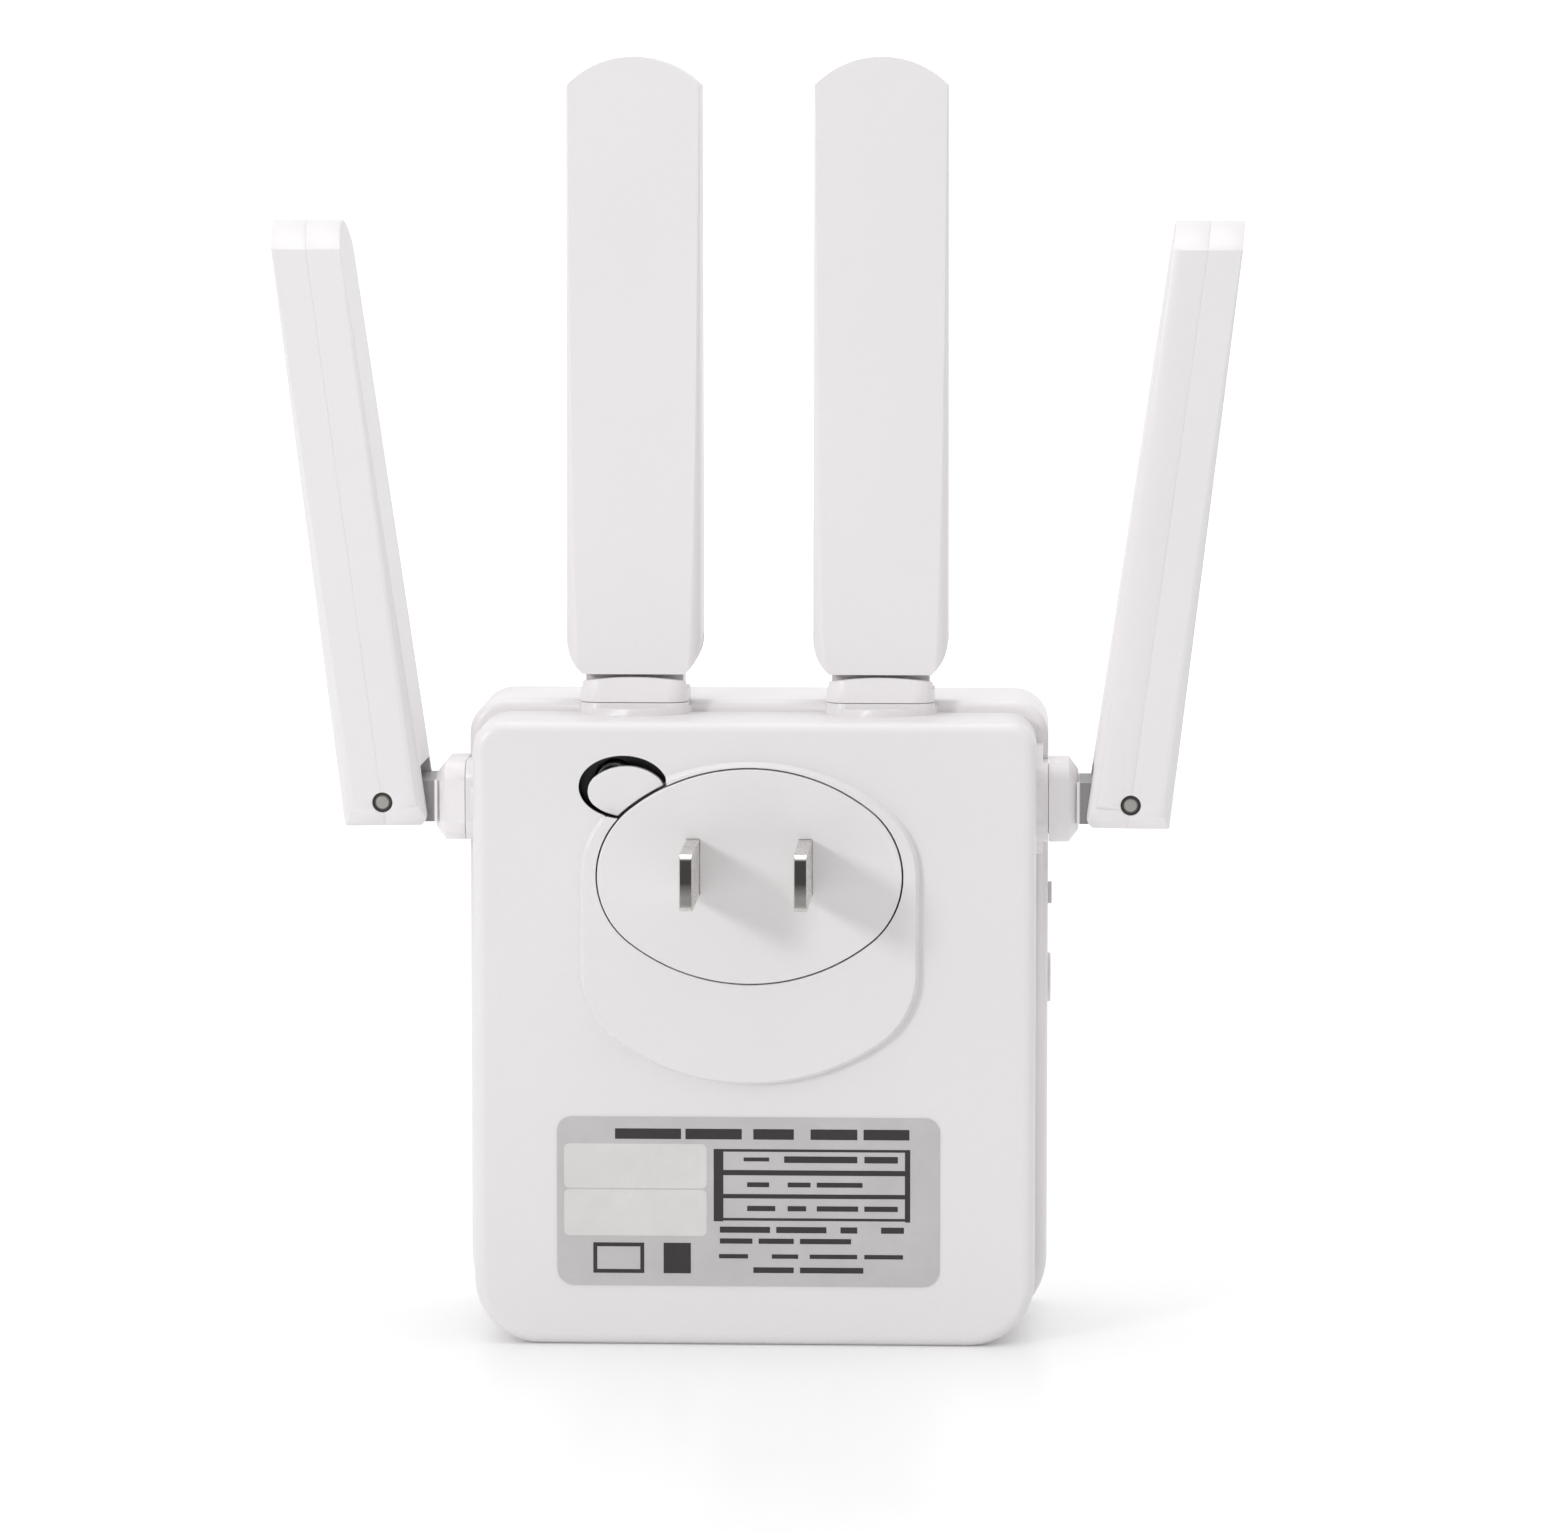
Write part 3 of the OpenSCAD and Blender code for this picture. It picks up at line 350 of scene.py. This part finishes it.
TARGET = Vector((1.83, 0, 65)) * MM
DISTANCE = 0.8
ELEVATION = math.radians(5.7)
AZIMUTH = math.radians(2.3)
LENS = 162.2
PATCH = 0.12                             # brightness of the dark patch, which bare metal reflects
PATCH_RIM = (-0.97, -0.72)               # where the patch ends, as the y of a direction
HORIZON = 0.54                           # brightness of the soft box low down and overhead
ZENITH = 1.05
STAGE_HALF_WIDTH = 3.0
WALL_FOOT = 0.9                          # distance behind the object where the floor starts to rise
WALL_RADIUS = 0.6
WALL_TOP = 2.5
WALL_STEPS = 24
GLOW = (0.085, 0.4)                      # the stage's own light, near the object and at the wall
GLOW_REACH = (0.2, 0.8)
GLOW_ON_OBJECT = 0.5                     # share of that light which falls on the object
KEY_LIGHT = dict(place=(-0.72, -1, 0.45), target=(0, 0, 0.06), size=0.22, power=3.9)
OVERHEAD_LIGHT = dict(place=(0, 0.1, 1.2), target=(0, 0, 0), size=0.9, power=2.9)


def backdrop():
    """Floor that curves up into a wall well behind the object."""
    mesh = bpy.data.meshes.new("backdrop")
    build = bmesh.new()
    profile = [(-STAGE_HALF_WIDTH, 0.0), (WALL_FOOT, 0.0)]
    for i in range(1, WALL_STEPS + 1):
        turn = math.pi / 2 * i / WALL_STEPS
        profile.append((WALL_FOOT + WALL_RADIUS * math.sin(turn), WALL_RADIUS * (1 - math.cos(turn))))
    profile.append((WALL_FOOT + WALL_RADIUS, WALL_TOP))
    rows = [[build.verts.new((x, y, z)) for x in (-STAGE_HALF_WIDTH, STAGE_HALF_WIDTH)] for y, z in profile]
    for low, high in zip(rows, rows[1:]):
        build.faces.new((low[0], low[1], high[1], high[0])).smooth = True
    build.to_mesh(mesh)
    build.free()
    floor = bpy.data.objects.new("backdrop", mesh)
    bpy.context.scene.collection.objects.link(floor)
    floor.location.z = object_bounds()[0][2]
    s = Surface("backdrop", (0.88, 0.88, 0.88), 0.3)
    s.shader.inputs["Emission Color"].default_value = (1, 1, 1, 1)
    glow = s.spread(s.axis("Y"), *GLOW, *GLOW_REACH)
    share = s.spread(s.add("ShaderNodeLightPath").outputs["Is Camera Ray"], GLOW_ON_OBJECT, 1, 0, 1)
    s.link(s.math("MULTIPLY", glow, share), s.shader.inputs["Emission Strength"])
    s.roughen(s.spread(s.noise(60 * MM), 0.27, 0.33))
    mesh.materials.append(s.material)
    floor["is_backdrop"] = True


def area_light(name, place, target, size, power):
    light = bpy.data.lights.new(name, "AREA")
    light.shape = "DISK"
    light.size = size
    light.energy = power
    lamp = bpy.data.objects.new(name, light)
    bpy.context.scene.collection.objects.link(lamp)
    lamp.location = place
    lamp.rotation_euler = (Vector(target) - Vector(place)).to_track_quat("-Z", "Y").to_euler()


def studio_world():
    """White to the camera; otherwise a soft box, brightest overhead, with a dark patch behind the camera."""
    world = bpy.data.worlds.new("studio")
    bpy.context.scene.world = world
    world.use_nodes = True
    tree = world.node_tree

    def ramp(value, *limits):
        node = tree.nodes.new("ShaderNodeMapRange")
        node.interpolation_type = "SMOOTHSTEP"
        for socket, number in zip(("From Min", "From Max", "To Min", "To Max"), limits):
            node.inputs[socket].default_value = number
        tree.links.new(value, node.inputs["Value"])
        return node.outputs[0]

    split = tree.nodes.new("ShaderNodeSeparateXYZ")
    tree.links.new(tree.nodes.new("ShaderNodeTexCoord").outputs["Generated"], split.inputs[0])
    light = tree.nodes.new("ShaderNodeMath")
    light.operation = "MULTIPLY"
    tree.links.new(ramp(split.outputs["Y"], *PATCH_RIM, PATCH, 1), light.inputs[0])
    tree.links.new(ramp(split.outputs["Z"], -0.2, 1, HORIZON, ZENITH), light.inputs[1])
    seen = tree.nodes.new("ShaderNodeMath")
    seen.operation = "MAXIMUM"
    tree.links.new(light.outputs[0], seen.inputs[0])
    tree.links.new(tree.nodes.new("ShaderNodeLightPath").outputs["Is Camera Ray"], seen.inputs[1])
    background = tree.nodes["Background"]
    background.inputs["Color"].default_value = (1, 1, 1, 1)
    tree.links.new(seen.outputs[0], background.inputs["Strength"])


def light_and_camera():
    studio_world()
    area_light("key", **KEY_LIGHT)
    area_light("overhead", **OVERHEAD_LIGHT)
    view = Vector((-math.sin(AZIMUTH) * math.cos(ELEVATION), math.cos(AZIMUTH) * math.cos(ELEVATION),
                   -math.sin(ELEVATION)))
    camera = bpy.data.cameras.new("camera")
    camera.lens = LENS
    camera.sensor_fit = "HORIZONTAL"
    camera.sensor_width = 36
    camera.clip_start = 0.01
    holder = bpy.data.objects.new("camera", camera)
    bpy.context.scene.collection.objects.link(holder)
    holder.location = TARGET - DISTANCE * view
    holder.rotation_euler = view.to_track_quat("-Z", "Y").to_euler()
    bpy.context.scene.camera = holder
    bpy.context.scene.view_settings.view_transform = "Standard"


backdrop()
light_and_camera()

# ---- label print ----

PRINT_T = 0.015 * MM
LIGHT_FILM = printed_film("light_film", (0.73, 0.715, 0.7))
INK = printed_film("ink", (0.03, 0.027, 0.029))
# Fields and bars in millimetres from the label's upper left corner: left, top, right, bottom
LIGHT_FIELDS = [(0.8, 3.05, 17, 8.15), (0.8, 8.3, 17, 13.6)]
BARS = [
    (6.6, 1.3, 14.1, 2.5), (14.6, 1.3, 21, 2.5), (22.3, 1.3, 26.9, 2.5), (28.8, 1.3, 34.1, 2.5),
    (34.8, 1.3, 40, 2.5),
    (17.8, 3.6, 18.9, 11.9), (39.5, 3.6, 40.1, 11.9),
    (18.9, 3.6, 39.5, 3.9), (18.9, 6, 39.5, 6.6), (18.9, 8.75, 39.5, 9.25), (18.9, 11.5, 39.5, 11.8),
    (21.2, 4.55, 24.1, 5), (25.8, 4.4, 34.1, 5.15), (34.9, 4.4, 38.7, 5.15),
    (21.6, 7.4, 24.1, 7.95), (26.2, 7.4, 28.8, 7.95), (29.5, 7.4, 34.7, 7.95),
    (21.6, 10.1, 24.8, 10.7), (26.2, 10.1, 28.3, 10.7), (29.5, 10.1, 34.2, 10.7), (34.9, 10.1, 38.7, 10.7),
    (18.5, 12.5, 24.2, 13.2), (24.9, 12.5, 30.6, 13.2), (32.2, 12.5, 34.1, 13.2), (36.8, 12.5, 39.4, 13.2),
    (18.5, 13.85, 22.2, 14.45), (22.9, 13.85, 26.9, 14.45), (27.6, 13.85, 33.4, 14.45),
    (18.4, 15.65, 21.7, 16.15), (24.4, 15.65, 27.4, 16.15), (28.7, 15.65, 34.1, 16.15),
    (34.9, 15.65, 39.3, 16.15),
    (22.3, 17.15, 26.9, 17.8), (27.6, 17.15, 34.8, 17.8),
]
# Two plain blocks stand where a real label carries marks
FRAME = (4.1, 14.4, 9.9, 17.9)
FRAME_LINE = 0.45
BLOCK = (12.1, 14.4, 15.2, 17.9)
FIELD_CORNER = 0.6
BAR_CORNER = 0.05
CORNER_STEPS = 5


def prism(build, points, y0, y1):
    """Adds an upright flat prism to build; points are (x, z), anticlockwise seen from the rear."""
    rings = [[build.verts.new((x, y, z)) for x, z in points] for y in (y0, y1)]
    build.faces.new(rings[0])
    build.faces.new(rings[1][::-1])
    for i in range(len(points)):
        j = (i + 1) % len(points)
        build.faces.new((rings[0][j], rings[0][i], rings[1][i], rings[1][j]))


def rounded(left, top, right, bottom, radius):
    """Corner points of a rounded rectangle."""
    points = []
    corners = ((right, bottom, -90), (right, top, 0), (left, top, 90), (left, bottom, 180))
    for x, z, start in corners:
        inward = (-1 if x == right else 1, 1 if z == bottom else -1)
        for i in range(CORNER_STEPS + 1):
            turn = math.radians(start + 90 * i / CORNER_STEPS)
            points.append((x + radius * (inward[0] + math.cos(turn)),
                           z + radius * (inward[1] + math.sin(turn))))
    return points


def print_layer(name, patches, radius, surface):
    """One printed layer, a hair above the label: every patch a thin plate of ink."""
    low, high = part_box("rating_label")
    build = bmesh.new()
    for left, top, right, bottom in patches:
        outline = rounded(low[0] + left * MM, high[2] - top * MM, low[0] + right * MM,
                          high[2] - bottom * MM, radius * MM)
        prism(build, outline, low[1] - PRINT_T, low[1])
    mesh = bpy.data.meshes.new(name)
    bmesh.ops.recalc_face_normals(build, faces=build.faces)
    build.to_mesh(mesh)
    build.free()
    mesh.materials.append(surface.material)
    layer = bpy.data.objects.new(name, mesh)
    bpy.context.scene.collection.objects.link(layer)
    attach(layer, "casing")


def frame_bars(left, top, right, bottom, line):
    """Four bars round an empty rectangle."""
    return [(left, top, right, top + line), (left, bottom - line, right, bottom),
            (left, top + line, left + line, bottom - line), (right - line, top + line, right, bottom - line)]


print_layer("label_fields", LIGHT_FIELDS, FIELD_CORNER, LIGHT_FILM)
print_layer("label_ink", BARS + frame_bars(*FRAME, FRAME_LINE) + [BLOCK], BAR_CORNER, INK)

# ---- edges ----

WELD_REACH = 0.002 * MM
FLAT_ANGLE = math.radians(0.3)           # faces closer to level than this become one
SHARP_ANGLE = math.radians(35)           # edges sharper than this are rounded
EDGE_WIDTHS = {
    "rear_cover": 0.25, "front_cover": 0.25,
    "plug_plate": 0.12, "release_button": 0.12, "wps_button": 0.12, "mode_knob": 0.12,
    "plug_blade_left": 0.06, "plug_blade_right": 0.06,
}
ANTENNA_EDGE_WIDTH = 0.1


def soften(node, width):
    """Joins a CAD node's faces and rounds its sharp edges a little, as moulding and stamping do."""
    weld = node.modifiers.new("join", "WELD")
    weld.merge_threshold = WELD_REACH
    flatten = node.modifiers.new("flatten", "DECIMATE")
    flatten.decimate_type = "DISSOLVE"
    flatten.angle_limit = FLAT_ANGLE
    bevel = node.modifiers.new("round", "BEVEL")
    bevel.width = width
    bevel.segments = 2
    bevel.limit_method = "ANGLE"
    bevel.angle_limit = SHARP_ANGLE
    bevel.use_clamp_overlap = True
    bevel.harden_normals = True


for name, node in NODES.items():
    if name.endswith(("outer_half", "inner_half", "swivel_base")):
        soften(node, ANTENNA_EDGE_WIDTH * MM)
    elif name in EDGE_WIDTHS:
        soften(node, EDGE_WIDTHS[name] * MM)
